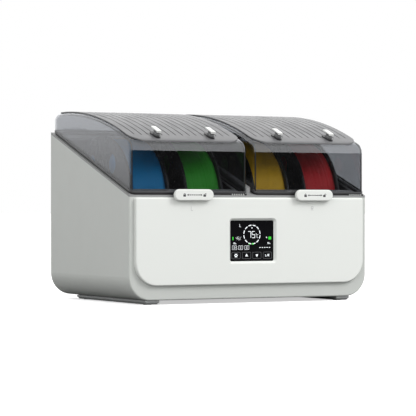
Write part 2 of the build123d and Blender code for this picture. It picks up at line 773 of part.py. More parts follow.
def feet():
    """Two long bars under the housing and the soft pads set into them."""
    bar_w = 22.0
    bar_x = BODY_W / 2 - 38
    bar_front = FRONT + 3
    bar_l = BODY_D - 38
    pad_h = 0.8
    with BuildPart() as bars:
        with BuildSketch(Plane.XY.offset(FOOT_H)):
            with Locations((-bar_x, bar_front + bar_l / 2), (bar_x, bar_front + bar_l / 2)):
                Rectangle(bar_w, bar_l)
        extrude(amount=pad_h - FOOT_H)
        chamfer(bars.faces().sort_by(Axis.Z)[0].edges() + bars.faces().sort_by(Axis.Z)[1].edges(), 3)
        with BuildSketch(Plane.XY.offset(pad_h)):
            with Locations(*foot_places(bar_x, bar_front, bar_l)):
                Circle(6)
        extrude(amount=1.2, mode=Mode.SUBTRACT)
    save(bars, "foot_bars")
    with BuildPart() as pads:
        with BuildSketch(Plane.XY):
            with Locations(*foot_places(bar_x, bar_front, bar_l)):
                Circle(5.9)
        extrude(amount=pad_h + 1.1)
        fillet(pads.faces().group_by(Axis.Z)[0].edges(), 0.5)
    save(pads, "foot_pads")


def foot_places(bar_x, bar_front, bar_l):
    """One pad near each end of both bars."""
    return [(x, y) for x in (-bar_x, bar_x) for y in (bar_front + 16, bar_front + bar_l - 16)]


def electronics():
    """The mains supply and the control board, under the chambers."""
    floor_z = FOOT_H + WALL
    supply_place = (-95, 55)
    supply_h = 16.0
    board_place = (95, 50)
    standoff_h = 4.0
    board_t = 1.6
    with BuildPart() as supply:
        with BuildSketch(Plane.XY.offset(floor_z)):
            with Locations(supply_place):
                Rectangle(120, 80)
        extrude(amount=supply_h)
        chamfer(supply.faces().sort_by(Axis.Z)[-1].edges(), 1)
        with BuildSketch(Plane.XY.offset(floor_z + supply_h)):
            with Locations(supply_place):
                with GridLocations(9, 34, 11, 2):
                    SlotOverall(24, 3, rotation=90)
        extrude(amount=-1.2, mode=Mode.SUBTRACT)
    save(supply, "power_supply")
    with BuildPart() as board:
        with BuildSketch(Plane.XY.offset(floor_z)):
            with Locations(board_place):
                with GridLocations(104, 66, 2, 2):
                    Circle(3.5)
        extrude(amount=standoff_h)
        with BuildSketch(Plane.XY.offset(floor_z + standoff_h)):
            with Locations(board_place):
                RectangleRounded(116, 78, 3)
        extrude(amount=board_t)
        with BuildSketch(Plane.XY.offset(floor_z + standoff_h + board_t)):
            with Locations((80, 50)):
                Rectangle(16, 16)
            with Locations((120, 35), (134, 35)):
                Circle(5)
            with Locations((60, 75), (84, 75), (108, 75)):
                Rectangle(14, 6)
        extrude(amount=7)
    save(board, "main_board")
    with BuildPart() as sensors:
        with BuildSketch(facing_front(TUB_FRONT)):
            for middle in BAYS.values():
                with Locations((middle, deck_z(FRONT) - 30)):
                    Rectangle(16, 12)
        extrude(amount=-3.5)
    save(sensors, "humidity_sensors")


def power_inlet():
    """The mains inlet with its three blades, and the rocker switch beside it."""
    flange_t = 2.0
    body_y = TUB_BACK + TUB_WALL + 1.0
    body_depth = BACK - body_y
    socket_depth = 15.0
    with BuildPart() as inlet:
        with BuildSketch(facing_front(BACK)):
            with Locations((0, INLET_Z)):
                RectangleRounded(INLET_W, INLET_H, 3)
        extrude(amount=-flange_t)
        with BuildSketch(facing_front(body_y)):
            with Locations((0, INLET_Z)):
                Rectangle(INLET_W - 8.4, INLET_H - 6.4)
        extrude(amount=-body_depth)
        with BuildSketch(facing_front(BACK + flange_t)):
            with Locations((SOCKET_X, INLET_Z)):
                RectangleRounded(SOCKET_W, SOCKET_H, 3)
        extrude(amount=socket_depth, mode=Mode.SUBTRACT)
        with BuildSketch(facing_front(BACK + flange_t)):
            with Locations((SWITCH_X, INLET_Z)):
                RectangleRounded(SWITCH_W + 0.8, SWITCH_H + 0.8, 1)
        extrude(amount=9, mode=Mode.SUBTRACT)
    save(inlet, "power_inlet")
    with BuildPart() as blades:
        with BuildSketch(facing_front(BACK + flange_t - socket_depth)):
            with Locations((SOCKET_X - 7, INLET_Z - 2), (SOCKET_X, INLET_Z + 2), (SOCKET_X + 7, INLET_Z - 2)):
                Rectangle(2, 4)
        extrude(amount=-8.5)
    save(blades, "inlet_blades")
    rocker_r = SWITCH_H / 2
    with BuildPart() as rocker:
        with BuildSketch(Plane.YZ.offset(SWITCH_X - SWITCH_W / 2)):
            with Locations(Location((SWITCH_PIVOT_Y, INLET_Z), SWITCH_TILT)):
                Circle(rocker_r)
                with Locations((0.5 - rocker_r, 0)):
                    Rectangle(2 * rocker_r, 3 * rocker_r, mode=Mode.SUBTRACT)
                with Locations((rocker_r * 1.9, 0)):
                    Circle(rocker_r * 1.15, mode=Mode.SUBTRACT)
        extrude(amount=SWITCH_W)
    save(rocker, "rocker_switch")


if __name__ == "__main__":
    os.makedirs("parts", exist_ok=True)
    housing_shell()
    front_fascia()
    display()
    rear_cover()
    cover_screws()
    deck_frame()
    lid_gaskets()
    hot_air()
    roller_shafts()
    shaft_clips()
    for side, middle in BAYS.items():
        tub(side, middle)
        lid_shell(side, middle)
        top_panel(side, middle)
        outlet_seats(side, middle)
        latch_track(side, middle)
        latch(side, middle)
    for number, x in enumerate(SPOOL_X, start=1):
        reel(number, x)
        filament(number, x)
        outlet_plug(number, x)
        for end, (y, z) in zip(("front", "rear"), ROLLER_PLACES):
            roller(number, x, y, end)
    latch_keepers()
    hinges()
    feet()
    electronics()
    power_inlet()
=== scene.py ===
import json
import random
from math import acos, asin, atan2, cos, degrees, pi, radians, sin, sqrt, tan

import bmesh
import bpy
from mathutils import Matrix, Vector


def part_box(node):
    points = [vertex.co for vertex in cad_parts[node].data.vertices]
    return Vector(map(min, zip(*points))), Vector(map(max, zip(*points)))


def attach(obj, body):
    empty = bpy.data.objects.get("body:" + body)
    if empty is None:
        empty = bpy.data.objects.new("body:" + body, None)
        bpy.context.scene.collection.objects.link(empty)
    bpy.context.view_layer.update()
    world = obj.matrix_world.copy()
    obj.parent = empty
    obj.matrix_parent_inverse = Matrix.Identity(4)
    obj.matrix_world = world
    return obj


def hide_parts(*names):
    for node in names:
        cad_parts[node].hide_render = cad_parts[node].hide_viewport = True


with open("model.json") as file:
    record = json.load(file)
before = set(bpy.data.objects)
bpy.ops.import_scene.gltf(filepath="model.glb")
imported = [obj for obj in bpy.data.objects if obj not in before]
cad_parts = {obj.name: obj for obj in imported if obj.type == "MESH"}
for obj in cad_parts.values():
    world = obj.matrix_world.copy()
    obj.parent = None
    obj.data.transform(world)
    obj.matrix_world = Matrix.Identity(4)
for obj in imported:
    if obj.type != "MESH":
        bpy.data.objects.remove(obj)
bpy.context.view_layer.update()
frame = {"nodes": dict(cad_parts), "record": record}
nodes = frame["nodes"]

# Lengths are in metres. X runs to the right, Y to the back and Z up, and the front faces -Y.
MM = 0.001
SIDES = ("left", "right")
SPOOLS = (1, 2, 3, 4)

shell_low, shell_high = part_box("housing_shell")
FRONT = shell_low.y
BACK = shell_high.y


# ---------------------------------------------------------------- materials

def new_material(name):
    """An empty node material with one Principled shader: returns the material, its tree and the shader."""
    mat = bpy.data.materials.new(name)
    mat.use_nodes = True
    tree = mat.node_tree
    return mat, tree, tree.nodes["Principled BSDF"]


def coordinates(tree):
    """Object coordinates, which are the same as the row frame's for every piece at rest."""
    return tree.nodes.new("ShaderNodeTexCoord").outputs["Object"]


def noise(tree, scale, detail=2.0, roughness=0.5, stretch=(1, 1, 1)):
    """A noise value between 0 and 1, with scale in cells per metre."""
    mapping = tree.nodes.new("ShaderNodeMapping")
    mapping.inputs["Scale"].default_value = stretch
    tree.links.new(coordinates(tree), mapping.inputs["Vector"])
    node = tree.nodes.new("ShaderNodeTexNoise")
    node.inputs["Scale"].default_value = scale
    node.inputs["Detail"].default_value = detail
    node.inputs["Roughness"].default_value = roughness
    tree.links.new(mapping.outputs["Vector"], node.inputs["Vector"])
    return node.outputs["Fac"]


def remap(tree, value, low, high, start=0.0, end=1.0):
    """value taken from the range low to high into the range start to end."""
    node = tree.nodes.new("ShaderNodeMapRange")
    node.inputs["From Min"].default_value = low
    node.inputs["From Max"].default_value = high
    node.inputs["To Min"].default_value = start
    node.inputs["To Max"].default_value = end
    tree.links.new(value, node.inputs["Value"])
    return node.outputs["Result"]


def maths(tree, operation, a, b):
    """One Math node. Either input may be a number."""
    node = tree.nodes.new("ShaderNodeMath")
    node.operation = operation
    for socket, value in zip(node.inputs, (a, b)):
        if isinstance(value, (int, float)):
            socket.default_value = value
        else:
            tree.links.new(value, socket)
    return node.outputs["Value"]


def blend_colours(tree, factor, first, second):
    """A mix of two colours, given as (r, g, b)."""
    node = tree.nodes.new("ShaderNodeMix")
    node.data_type = "RGBA"
    tree.links.new(factor, node.inputs["Factor"])
    node.inputs["A"].default_value = (*first, 1)
    node.inputs["B"].default_value = (*second, 1)
    return node.outputs["Result"]


def add_bump(tree, shader, height, depth):
    """Bump on the shader from a height between 0 and 1, depth metres deep."""
    node = tree.nodes.new("ShaderNodeBump")
    node.inputs["Strength"].default_value = 1.0
    node.inputs["Distance"].default_value = depth
    tree.links.new(height, node.inputs["Height"])
    tree.links.new(node.outputs["Normal"], shader.inputs["Normal"])


def shade(colour, factor):
    """The colour made darker or lighter."""
    return tuple(min(1.0, c * factor) for c in colour)


def moulded(name, colour, roughness, grain=2600.0, grain_depth=0.02 * MM, variation=0.03, specular=0.5):
    """Injection-moulded plastic: a fine spark-eroded grain, slight flow mottling and smudges."""
    mat, tree, shader = new_material(name)
    flow = noise(tree, 18.0, detail=3.0, stretch=(1, 1, 0.35))
    base = blend_colours(tree, flow, shade(colour, 1 - variation), shade(colour, 1 + variation))
    tree.links.new(base, shader.inputs["Base Color"])
    smudges = noise(tree, 45.0, detail=4.0, roughness=0.6)
    handled = remap(tree, smudges, 0.3, 0.7, roughness - 0.05, roughness + 0.06)
    tree.links.new(handled, shader.inputs["Roughness"])
    shader.inputs["Specular IOR Level"].default_value = specular
    add_bump(tree, shader, noise(tree, grain, detail=1.0), grain_depth)
    return mat


def plain_metal(name, colour, roughness, direction=(1, 1, 1)):
    """Plated or brushed metal with fine drawn lines along the least stretched direction."""
    mat, tree, shader = new_material(name)
    lines = noise(tree, 900.0, detail=2.0, stretch=direction)
    drawn = blend_colours(tree, lines, shade(colour, 0.86), shade(colour, 1.08))
    tree.links.new(drawn, shader.inputs["Base Color"])
    shader.inputs["Metallic"].default_value = 1.0
    satin = remap(tree, lines, 0.3, 0.7, roughness - 0.07, roughness + 0.1)
    tree.links.new(satin, shader.inputs["Roughness"])
    add_bump(tree, shader, lines, 0.01 * MM)
    return mat


def schlick(tree, straight, power=5.0):
    """Gloss by slant, the same for both sides of a thin wall: straight is its share when seen head on."""
    slant = tree.nodes.new("ShaderNodeLayerWeight")
    slant.inputs["Blend"].default_value = 0.5
    return remap(tree, maths(tree, "POWER", slant.outputs["Facing"], power), 0, 1, straight, 1)


CLEAR_TINT = (0.64, 0.65, 0.665)
CLEAR_TINT_AT_A_SLANT = (0.22, 0.225, 0.235)
CLEAR_GLOSS = 0.055


def mix_shaders(tree, factor, first, second):
    """A Mix Shader between two shader outputs."""
    node = tree.nodes.new("ShaderNodeMixShader")
    tree.links.new(factor, node.inputs["Fac"])
    tree.links.new(first, node.inputs[1])
    tree.links.new(second, node.inputs[2])
    return node.outputs["Shader"]


def smoked_clear():
    """Clear grey polycarbonate: it tints what is behind it, mirrors at a slant and holds a little dust.

    Lamp light passes almost whole, so that the spools inside are lit.
    """
    mat, tree, shader = new_material("smoked_clear")
    tree.nodes.remove(shader)
    through = tree.nodes.new("ShaderNodeBsdfTransparent")
    tint = blend_colours(tree, schlick(tree, 0.0, power=7.0), CLEAR_TINT, CLEAR_TINT_AT_A_SLANT)
    tree.links.new(tint, through.inputs["Color"])
    mirror = tree.nodes.new("ShaderNodeBsdfGlossy")
    mirror.inputs["Color"].default_value = (0.97, 0.98, 1.0, 1)
    haze = noise(tree, 60.0, detail=4.0)
    tree.links.new(remap(tree, haze, 0.3, 0.7, 0.02, 0.05), mirror.inputs["Roughness"])
    dust = tree.nodes.new("ShaderNodeBsdfDiffuse")
    dust.inputs["Color"].default_value = (0.75, 0.76, 0.78, 1)
    dustiness = remap(tree, haze, 0.2, 0.8, 0.001, 0.005)
    dusty = mix_shaders(tree, dustiness, through.outputs["BSDF"], dust.outputs["BSDF"])
    surface = mix_shaders(tree, schlick(tree, CLEAR_GLOSS), dusty, mirror.outputs["BSDF"])
    rays = tree.nodes.new("ShaderNodeLightPath")
    lamp_light = tree.nodes.new("ShaderNodeBsdfTransparent")
    lamp_light.inputs["Color"].default_value = (0.94, 0.94, 0.94, 1)
    whole = mix_shaders(tree, rays.outputs["Is Shadow Ray"], surface, lamp_light.outputs["BSDF"])
    tree.links.new(whole, tree.nodes["Material Output"].inputs["Surface"])
    return mat


def lit(name, colour, strength):
    """A lit segment of the screen, a touch uneven as a backlight is."""
    mat, tree, shader = new_material(name)
    shader.inputs["Base Color"].default_value = (*shade(colour, 0.6), 1)
    shader.inputs["Roughness"].default_value = 0.3
    uneven = blend_colours(tree, noise(tree, 400.0), shade(colour, 0.9), colour)
    tree.links.new(uneven, shader.inputs["Emission Color"])
    shader.inputs["Emission Strength"].default_value = strength
    return mat


def thread(name, colour):
    """Wound plastic thread: satin, with a shade that drifts from turn to turn."""
    mat, tree, shader = new_material(name)
    layers = noise(tree, 30.0, detail=5.0, roughness=0.65, stretch=(14, 1, 1))
    drift = blend_colours(tree, layers, shade(colour, 0.92), shade(colour, 1.07))
    tree.links.new(drift, shader.inputs["Base Color"])
    tree.links.new(remap(tree, layers, 0.3, 0.7, 0.34, 0.5), shader.inputs["Roughness"])
    add_bump(tree, shader, noise(tree, 1500.0, detail=2.0), 0.02 * MM)
    return mat


# Outside: housing, front, back and lids
FASCIA_WHITE = moulded("fascia_white", (0.79, 0.81, 0.78), 0.42, grain_depth=0.008 * MM, variation=0.01)
BODY_GREY = moulded("body_grey", (0.56, 0.58, 0.555), 0.5, variation=0.02)
BACK_GREY = moulded("back_grey", (0.36, 0.37, 0.37), 0.5, variation=0.03)
FOOT_GREY = moulded("foot_grey", (0.33, 0.34, 0.34), 0.55)
DECK_GREY = moulded("deck_grey", (0.26, 0.264, 0.264), 0.45, variation=0.03)
PANEL_GREY = moulded("panel_grey", (0.125, 0.126, 0.13), 0.46, variation=0.05)
# Painted shade: a near-black, dull material for the strips that stand in for the shadow in the panel grooves
GROOVE_SHADE = moulded("groove_shade", (0.012, 0.012, 0.013), 0.8, variation=0.1, specular=0.1)
RIM_DARK = moulded("rim_dark", (0.03, 0.031, 0.033), 0.35, variation=0.1)
PLUG_GREY = moulded("plug_grey", (0.13, 0.132, 0.135), 0.4, variation=0.05)
PLUG_LIGHT = moulded("plug_light", (0.74, 0.75, 0.73), 0.4)
CLEAR = smoked_clear()

# Marks and screen
TICK_GREY = moulded("tick_grey", (0.5, 0.51, 0.5), 0.45, variation=0.04)
MARK_GREY = moulded("mark_grey", (0.56, 0.57, 0.56), 0.5, variation=0.05)
MARK_DARK = moulded("mark_dark", (0.045, 0.045, 0.048), 0.5, variation=0.1)
SCREEN = moulded("screen_glass", (0.002, 0.002, 0.003), 0.08, grain_depth=0.001 * MM, specular=0.3)
LIT_WHITE = lit("lit_white", (0.86, 0.9, 0.92), 0.9)
LIT_GREEN = lit("lit_green", (0.03, 0.55, 0.03), 0.8)
LIT_DIM = lit("lit_dim", (0.12, 0.125, 0.13), 0.5)

# Inside and fittings
DARK = moulded("dark_plastic", (0.022, 0.022, 0.024), 0.45, variation=0.15)
TUB_BLACK = moulded("tub_black", (0.016, 0.017, 0.017), 0.4, variation=0.15)
RUBBER = moulded("seal_rubber", (0.014, 0.014, 0.014), 0.7, grain=1200.0, variation=0.2)
REEL_BLACK = moulded("reel_black", (0.010, 0.010, 0.011), 0.28, variation=0.2)
BOARD = moulded("circuit_board", (0.012, 0.09, 0.035), 0.35, variation=0.12)
SWITCH = moulded("switch_black", (0.02, 0.02, 0.02), 0.2, grain_depth=0.005 * MM)
STEEL = plain_metal("plated_steel", (0.58, 0.59, 0.61), 0.32, direction=(0.05, 1, 1))
ALUMINIUM = plain_metal("heater_metal", (0.66, 0.67, 0.68), 0.4, direction=(1, 1, 0.06))
BRASS = plain_metal("contact_brass", (0.78, 0.66, 0.42), 0.25, direction=(1, 0.08, 1))

# The filament on each spool, from left to right
FILAMENT_COLOURS = {
    1: (0.016, 0.27, 0.60),
    2: (0.032, 0.38, 0.022),
    3: (0.80, 0.48, 0.024),
    4: (0.62, 0.024, 0.030),
}
FILAMENTS = {n: thread(f"filament_{n}", FILAMENT_COLOURS[n]) for n in SPOOLS}


def paint(material, *names):
    """Gives CAD nodes a material in every slot."""
    for name in names:
        slots = nodes[name].data.materials
        slots.clear()
        slots.append(material)


paint(BODY_GREY, "housing_shell")
paint(FASCIA_WHITE, "front_fascia", "latch_left", "latch_right")
paint(DECK_GREY, "deck_frame")
paint(BACK_GREY, "rear_cover")
paint(PANEL_GREY, "top_panel_left", "top_panel_right")
paint(FOOT_GREY, "foot_bars")
paint(CLEAR, "lid_shell_left", "lid_shell_right")
paint(RUBBER, "lid_gaskets", "foot_pads")
paint(TUB_BLACK, "tub_left", "tub_right")
paint(DARK, "display_frame", "shaft_clips", "power_inlet", "fan_frames", "impeller_left", "impeller_right")
paint(DARK, "outlet_seats_left", "outlet_seats_right", "latch_track_left", "latch_track_right")
paint(SCREEN, "display_glass")
paint(BOARD, "display_board", "main_board", "humidity_sensors")
paint(ALUMINIUM, "power_supply", "heaters")
paint(STEEL, "heater_guards", "roller_shafts", "cover_screws")
paint(STEEL, "hinge_brackets", "hinge_pins", "latch_keepers")
paint(BRASS, "inlet_blades")
paint(SWITCH, "rocker_switch")
for n in SPOOLS:
    paint(PLUG_LIGHT, f"outlet_plug_{n}")
    paint(REEL_BLACK, f"reel_{n}")
    paint(FILAMENTS[n], f"filament_{n}")
    paint(RUBBER, f"roller_{n}_front", f"roller_{n}_rear")


# ---------------------------------------------------------------- mesh helpers

def piece_from(bm, name, material, body, bevel=0.0, smooth=False):
    """Turns a bmesh into a piece that rides on a body, with the given material."""
    bmesh.ops.recalc_face_normals(bm, faces=bm.faces)
    mesh = bpy.data.meshes.new(name)
    bm.to_mesh(mesh)
    bm.free()
    mesh.materials.append(material)
    for face in mesh.polygons:
        face.use_smooth = smooth
    piece = bpy.data.objects.new(name, mesh)
    bpy.context.scene.collection.objects.link(piece)
    if bevel:
        rounding = piece.modifiers.new("rounding", "BEVEL")
        rounding.width = bevel
        rounding.segments = 3
        rounding.limit_method = "ANGLE"
        rounding.angle_limit = radians(40)
    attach(piece, body)
    return piece


def facing_front(y):
    """Local x is +X, local y is up and local z comes out of the front, from a plane at y."""
    return Matrix(((1, 0, 0, 0), (0, 0, -1, y), (0, 1, 0, 0), (0, 0, 0, 1)))


def join_loops(bm, loops, ring=False):
    """Quads between each loop of vertices and the next. A ring also joins the last to the first."""
    following = loops[1:] + loops[:1] if ring else loops[1:]
    count = len(loops[0])
    for near, far in zip(loops, following):
        for i in range(count):
            j = (i + 1) % count
            bm.faces.new((near[i], near[j], far[j], far[i]))


def rod(bm, loops):
    """A closed solid through a row of loops, with a flat face at both ends."""
    join_loops(bm, loops)
    bm.faces.new(loops[0])
    bm.faces.new(loops[-1])


def add_loop(bm, outline, z, place):
    """Vertices over an outline of (x, y) points at local z."""
    return [bm.verts.new(place @ Vector((x, y, z))) for x, y in outline]


def prism(bm, outline, low, high, place):
    """A closed prism over an outline, from local z low to high."""
    rod(bm, [add_loop(bm, outline, z, place) for z in (low, high)])


def frame_ring(bm, outer, inner, low, high, place):
    """A closed frame between two outlines that have the same number of points."""
    corners = ((outer, low), (inner, low), (inner, high), (outer, high))
    join_loops(bm, [add_loop(bm, outline, z, place) for outline, z in corners], ring=True)


def arc(centre, radius, start, end, steps):
    """Points of an arc, with angles in degrees."""
    angles = [radians(start + (end - start) * i / steps) for i in range(steps + 1)]
    return [(centre[0] + radius * cos(t), centre[1] + radius * sin(t)) for t in angles]


def rounded_rectangle(centre, width, height, radius, steps=6):
    """Outline of a rectangle with round corners."""
    points = []
    for turn, (sx, sy) in enumerate(((1, 1), (-1, 1), (-1, -1), (1, -1))):
        corner = (centre[0] + sx * (width / 2 - radius), centre[1] + sy * (height / 2 - radius))
        points += arc(corner, radius, 90 * turn, 90 * turn + 90, steps)
    return points


def circle(centre, radius, steps):
    """Points of a full circle, each once."""
    return arc(centre, radius, 0, 360 - 360 / steps, steps - 1)


def bar(start, end, width):
    """Outline of a straight stroke between two points."""
    start, end = Vector(start), Vector(end)
    run = end - start
    side = Vector((-run.y, run.x)).normalized() * width / 2
    return [tuple(start - side), tuple(end - side), tuple(end + side), tuple(start + side)]


def ring_sector(centre, radius, width, start, end, steps=8):
    """Outline of part of a ring."""
    outer = arc(centre, radius + width / 2, start, end, steps)
    inner = arc(centre, radius - width / 2, start, end, steps)
    return outer + inner[::-1]


# Strokes in a cell that is one wide and two high. Digits are those of a seven-segment display.
STROKES = {
    "a": ((0, 2), (1, 2)),
    "b": ((1, 2), (1, 1)),
    "c": ((1, 1), (1, 0)),
    "d": ((0, 0), (1, 0)),
    "e": ((0, 1), (0, 0)),
    "f": ((0, 2), (0, 1)),
    "g": ((0, 1), (1, 1)),
    "r": ((0.35, 1), (1, 0)),
    "/": ((0, 0), (1, 2)),
    "-": ((0.1, 1), (0.9, 1)),
}
LETTERS = {"0": "abcdef", "4": "fgbc", "5": "afgcd", "7": "abc", "8": "abcdefg",
           "L": "fed", "C": "afed", "R": "efabgr", "/": "/", "-": "-", "%": "/"}
DOTS = {":": ((0.3, 0.55), (0.3, 1.45)), "%": ((0.1, 1.8), (0.9, 0.2))}
ADVANCE = 1.45
COLON_ADVANCE = 0.75


def write(bm, text, corner, height, width, depth, place):
    """Characters as separate raised strokes from a lower left corner, with depth as (low, high)."""
    left, base = corner
    unit = height / 2
    for character in text:
        for x, y in DOTS.get(character, ()):
            middle = (left + x * unit, base + y * unit)
            prism(bm, rounded_rectangle(middle, width * 1.2, width * 1.2, width * 0.3), *depth, place)
        for stroke in LETTERS.get(character, ""):
            ends = [(left + x * unit, base + y * unit) for x, y in STROKES[stroke]]
            prism(bm, bar(*ends, width), *depth, place)
        left += unit * (COLON_ADVANCE if character == ":" else ADVANCE)


# ---------------------------------------------------------------- spools

TURNS = 30
AROUND = 144
BORE_SHARE = 0.43
SCALLOP = 0.35 * MM
MOST_SAG = 0.25
TRIM_RAISED = 0.9 * MM
TRIM_SUNK = -0.3 * MM


def winding(n):
    """The wound filament: turns side by side, each a shallow scallop, with a little unevenness."""
    low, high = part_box(f"filament_{n}")
    axis = (low + high) / 2
    radius = (high.z - low.z) / 2
    width = high.x - low.x
    chance = random.Random(40 + n)
    profile = [(low.x, radius * BORE_SHARE)]
    for turn in range(TURNS):
        sag = chance.uniform(0, MOST_SAG) * MM
        for part in (0.08, 0.5, 0.92):
            bulge = SCALLOP * sin(pi * part)
            profile.append((low.x + width * (turn + part) / TURNS, radius - SCALLOP - sag + bulge))
    profile.append((high.x, radius * BORE_SHARE))
    bm = bmesh.new()
    sections = []
    for i in range(AROUND):
        angle = 2 * pi * i / AROUND
        across, up = cos(angle), sin(angle)
        sections.append([bm.verts.new((x, axis.y + r * across, axis.z + r * up)) for x, r in profile])
    join_loops(bm, sections, ring=True)
    wound = piece_from(bm, f"winding_{n}", FILAMENTS[n], f"spool_{n}", smooth=True)
    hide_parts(f"filament_{n}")


def reel_trim(n):
    """Raised rims round each flange and round its bore, with ribs between the windows."""
    low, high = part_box(f"reel_{n}")
    centre = (low + high) / 2
    flange_r = (high.z - low.z) / 2
    rims = ((flange_r - 4 * MM, 4 * MM), (30 * MM, 4 * MM), (48 * MM, 1.6 * MM))
    rib = rounded_rectangle((63 * MM, 0), 60 * MM, 3 * MM, 1 * MM)
    bm = bmesh.new()
    for face, out in ((low.x, -1), (high.x, 1)):
        place = Matrix(((0, 0, out, face), (1, 0, 0, centre.y), (0, 1, 0, centre.z), (0, 0, 0, 1)))
        for radius, width in rims:
            outer = circle((0, 0), radius + width / 2, 96)
            inner = circle((0, 0), radius - width / 2, 96)
            frame_ring(bm, outer, inner, TRIM_SUNK, TRIM_RAISED, place)
        for step in range(6):
            turn = Matrix.Rotation(radians(30 + 60 * step), 4, "Z")
            prism(bm, rib, TRIM_SUNK, TRIM_RAISED * 0.8, place @ turn)
    piece_from(bm, f"reel_trim_{n}", REEL_BLACK, f"spool_{n}", bevel=0.2 * MM)


for n in SPOOLS:
    winding(n)
    reel_trim(n)


# ---------------------------------------------------------------- screen and front marks

glass_low, glass_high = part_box("display_glass")
SCREEN_DEPTH = (-0.3 * MM, 0.08 * MM)
PRINT_DEPTH = (-0.2 * MM, 0.05 * MM)

# What the screen says: text, share of the width, share of the height, size and stroke in mm
TEMPERATURE_SHARES = (0.41, 0.425)
READINGS = (
    ("75", *TEMPERATURE_SHARES, 9.0, 0.75),
    ("L", 0.215, 0.155, 4.2, 0.45),
    ("45%", 0.13, 0.475, 4.2, 0.3),
    ("08:00:00", 0.045, 0.715, 5.6, 0.34),
    ("-----", 0.67, 0.715, 5.4, 0.9),
)
DIAL_SHARES = (0.50, 0.345)
DIAL_R = 13.4 * MM
DIAL_SEGMENTS = 12
KEY_SHARES = (0.13, 0.375, 0.615, 0.86)
KEY_ROW = 0.86
KEY_W = 14.4 * MM
KEY_H = 9.6 * MM
KEY_LINE = 0.4 * MM
LETTER_DROP = 18.2 * MM
LETTER_H = 6.0 * MM


def screen_point(u, v):
    """A place on the screen, as shares of its width from the left and of its height from the top."""
    width = glass_high.x - glass_low.x
    height = glass_high.z - glass_low.z
    return (glass_low.x + width * u, glass_high.z - height * v)


def draw_dial(bm, place):
    """The ring of segments round the temperature, the dot at its top, and the small degree and C."""
    dial = screen_point(*DIAL_SHARES)
    turn = 360 / DIAL_SEGMENTS
    for step in range(DIAL_SEGMENTS):
        start = 90 + turn * step + 4
        prism(bm, ring_sector(dial, DIAL_R, 1.2 * MM, start, start + 21), *SCREEN_DEPTH, place)
    prism(bm, arc((dial[0], dial[1] + 9.5 * MM), 0.9 * MM, 0, 330, 11), *SCREEN_DEPTH, place)
    left, base = screen_point(*TEMPERATURE_SHARES)
    degree = (left + 13.4 * MM, base + 5.4 * MM)
    prism(bm, ring_sector(degree, 0.6 * MM, 0.35 * MM, 0, 350), *SCREEN_DEPTH, place)
    write(bm, "C", (left + 14.6 * MM, base + 0.2 * MM), 4.4 * MM, 0.42 * MM, SCREEN_DEPTH, place)


def draw_captions(bm, place):
    """Three short lines over each lower reading, and the dot beside the level."""
    for u in (0.07, 0.86):
        left, base = screen_point(u, 0.575)
        for line in range(3):
            z = base + line * 0.9 * MM
            prism(bm, bar((left, z), (left + (5.0 - line) * MM, z), 0.45 * MM), *SCREEN_DEPTH, place)
    prism(bm, arc(screen_point(0.84, 0.42), 0.9 * MM, 0, 330, 11), *SCREEN_DEPTH, place)


def draw_gear(bm, middle, place):
    """A small gear: a ring in six parts with a tooth on each."""
    for start in range(0, 360, 60):
        prism(bm, ring_sector(middle, 1.7 * MM, 1.0 * MM, start, start + 60, 2), *SCREEN_DEPTH, place)
        ray = Vector((cos(radians(start)), sin(radians(start))))
        root = Vector(middle) + ray * 2.0 * MM
        tip = Vector(middle) + ray * 2.9 * MM
        prism(bm, bar(root, tip, 0.9 * MM), *SCREEN_DEPTH, place)


def draw_keys(bm, place):
    """The signs on the touch keys: gear, up, down and L/R."""
    gear, up, down, side = (screen_point(u, KEY_ROW) for u in KEY_SHARES)
    draw_gear(bm, gear, place)
    for middle, tip in ((up, 90), (down, 270)):
        prism(bm, arc(middle, 2.6 * MM, tip, tip + 240, 2), *SCREEN_DEPTH, place)
    corner = (side[0] - 3.2 * MM, side[1] - 1.5 * MM)
    write(bm, "L/R", corner, 3.0 * MM, 0.6 * MM, SCREEN_DEPTH, place)


def screen_marks():
    """The lit white segments: dial, readings, captions and the signs on the touch keys."""
    place = facing_front(glass_low.y)
    bm = bmesh.new()
    draw_dial(bm, place)
    for text, u, v, size, stroke in READINGS:
        write(bm, text, screen_point(u, v), size * MM, stroke * MM, SCREEN_DEPTH, place)
    draw_captions(bm, place)
    draw_keys(bm, place)
    piece_from(bm, "screen_marks", LIT_WHITE, "base")


def screen_marks_green():
    """The lit green segments: humidity bar, level, heating triangle and the block beside it."""
    place = facing_front(glass_low.y)
    bm = bmesh.new()
    for u, v, width, height, radius in ((0.06, 0.44, 1.6, 4.6, 0.6), (0.915, 0.435, 4.6, 4.2, 0.9),
                                        (0.52, 0.575, 3.0, 2.2, 0.6)):
        block = rounded_rectangle(screen_point(u, v), width * MM, height * MM, radius * MM)
        prism(bm, block, *SCREEN_DEPTH, place)
    prism(bm, arc(screen_point(0.44, 0.575), 1.5 * MM, 90, 330, 2), *SCREEN_DEPTH, place)
    piece_from(bm, "screen_marks_green", LIT_GREEN, "base")


def key_frames():
    """The dim frames round the four touch keys."""
    bm = bmesh.new()
    for u in KEY_SHARES:
        middle = screen_point(u, KEY_ROW)
        outer = rounded_rectangle(middle, KEY_W, KEY_H, 1.6 * MM)
        inner = rounded_rectangle(middle, KEY_W - 2 * KEY_LINE, KEY_H - 2 * KEY_LINE, 1.6 * MM - KEY_LINE)
        frame_ring(bm, outer, inner, *SCREEN_DEPTH, facing_front(glass_low.y))
    piece_from(bm, "key_frames", LIT_DIM, "base")


def side_marks():
    """The printed L and R under the latches, on the front plate."""
    fascia_low, fascia_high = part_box("front_fascia")
    place = facing_front(fascia_low.y)
    base = fascia_high.z - LETTER_DROP
    bm = bmesh.new()
    for letter, side in (("L", "left"), ("R", "right")):
        low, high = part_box(f"latch_{side}")
        left = (low.x + high.x) / 2 - LETTER_H / 4
        write(bm, letter, (left, base), LETTER_H, 0.8 * MM, PRINT_DEPTH, place)
    piece_from(bm, "side_marks", MARK_GREY, "base")


